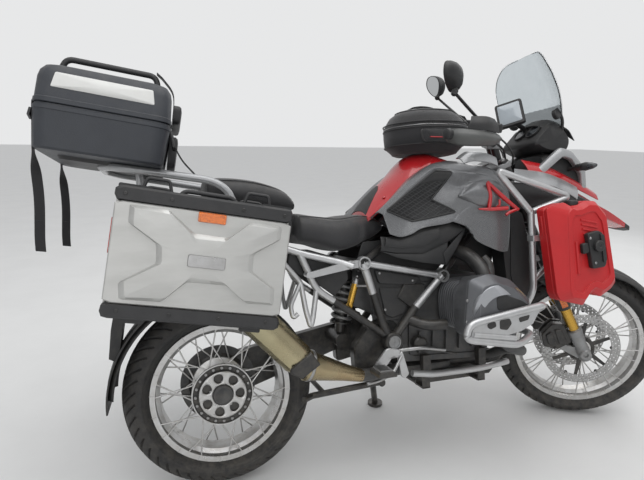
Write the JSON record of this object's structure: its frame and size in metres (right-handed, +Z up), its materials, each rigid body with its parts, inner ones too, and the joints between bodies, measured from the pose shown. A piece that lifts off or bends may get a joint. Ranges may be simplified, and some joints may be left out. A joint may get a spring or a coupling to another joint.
{
  "type": "adventure touring motorcycle with luggage",
  "caption": "Adventure motorcycle leaning on its side stand, steering turned right, with hard cases, tank bag, crash bars and a red fuel can.",
  "frame": {"origin": "centre of the bounding box at floor level", "axes": "+X forward, +Y left, +Z up"},
  "size_m": [2.2988, 1.0166, 1.5216],
  "materials": {
    "black_metal": "satin",
    "black_plastic": "matte",
    "case_metal": "satin",
    "cast_alloy": "satin",
    "cloth": "matte",
    "exhaust": "satin",
    "grey_paint": "satin",
    "lamp_glass": "gloss",
    "red_paint": "gloss",
    "red_plastic": "satin",
    "screen": "gloss",
    "seat": "satin",
    "silver_tube": "satin",
    "steel": "satin",
    "tyre": "matte"
  },
  "bodies": {
    "chassis": {"main_frame": "silver_tube", "engine_block": "cast_alloy", "cylinder_right": "cast_alloy", "cylinder_left": "cast_alloy", "swingarm": "black_metal", "rear_shock": "black_metal", "rear_subframe": "silver_tube", "front_link": "black_metal", "tank": "red_paint", "tank_side_right": "grey_paint", "tank_side_left": "grey_paint", "side_cover_right": "black_plastic", "side_cover_left": "black_plastic", "seat_rider": "seat", "tail_unit": "black_plastic", "seat_pillion": "seat", "rear_fender": "black_plastic", "exhaust": "exhaust", "upper_guard_right": "silver_tube", "upper_guard_left": "silver_tube", "cylinder_guard_right": "silver_tube", "cylinder_guard_left": "silver_tube", "skid_plate": "silver_tube", "footpeg_right": "cast_alloy", "footpeg_left": "cast_alloy", "beak": "red_paint", "headlight": "lamp_glass", "cockpit": "black_plastic", "fairing_side_right": "grey_paint", "fairing_side_left": "grey_paint", "windshield": "screen", "radiator_right": "black_plastic", "radiator_left": "black_plastic", "fuel_can": "red_plastic", "luggage_rack": "silver_tube", "top_case_body": "black_plastic", "pannier_body_right": "case_metal", "pannier_body_left": "case_metal", "tank_bag": "cloth", "strap_rear_right": "black_plastic", "strap_rear_left": "black_plastic"},
    "steering": {"fork": "cast_alloy", "handlebar": "black_metal", "mirror_right": "black_plastic", "mirror_left": "black_plastic", "front_fender": "black_plastic"},
    "front_wheel": {"front_tyre": "tyre", "front_rim": "silver_tube", "front_disc_right": "steel", "front_disc_left": "steel"},
    "rear_wheel": {"rear_tyre": "tyre", "rear_rim": "silver_tube", "rear_disc": "steel"},
    "pannier_lid_right": {"pannier_lid_right": "case_metal"},
    "pannier_lid_left": {"pannier_lid_left": "case_metal"},
    "top_case_lid": {"top_case_lid": "black_plastic"},
    "side_stand": {"side_stand": "black_metal"},
    "centre_stand": {"centre_stand": "black_metal"}
  },
  "joints": [
    {"name": "rear_wheel_spin", "type": "hinge", "parent": "chassis", "child": "rear_wheel", "pos_m": [-0.68353, -0.12365, 0.31443], "axis": [0.0002, 0.9842, -0.1771], "continuous": true},
    {"name": "steering", "type": "hinge", "parent": "chassis", "child": "steering", "pos_m": [0.62137, -0.06808, 0.6248], "axis": [-0.4315, 0.1598, 0.8878], "range_deg": [-11.7, 68.3]},
    {"name": "front_wheel_spin", "type": "hinge", "parent": "steering", "child": "front_wheel", "pos_m": [0.81807, -0.1462, 0.32473], "axis": [0.4279, 0.9027, 0.0455], "continuous": true},
    {"name": "side_stand", "type": "hinge", "parent": "chassis", "child": "side_stand", "pos_m": [-0.06349, 0.01965, 0.27921], "axis": [0.0146, 0.9347, 0.355], "range_deg": [0, 98.7]},
    {"name": "centre_stand", "type": "hinge", "parent": "chassis", "child": "centre_stand", "pos_m": [-0.1235, -0.12861, 0.28752], "axis": [-0.0002, -0.9842, 0.1771], "range_deg": [0, 50]},
    {"name": "pannier_lid_right", "type": "hinge", "parent": "chassis", "child": "pannier_lid_right", "pos_m": [-0.78446, -0.46493, 0.68819], "axis": [0.985, -0.0307, -0.1698], "range_deg": [0, 75]},
    {"name": "pannier_lid_left", "type": "hinge", "parent": "chassis", "child": "pannier_lid_left", "pos_m": [-0.7843, 0.32656, 0.54578], "axis": [-0.985, 0.0307, 0.1698], "range_deg": [0, 75]},
    {"name": "top_case_lid", "type": "hinge", "parent": "chassis", "child": "top_case_lid", "pos_m": [-0.80681, 0.02758, 1.1548], "axis": [0.0002, 0.9842, -0.1771], "range_deg": [0, 80]}
  ]
}
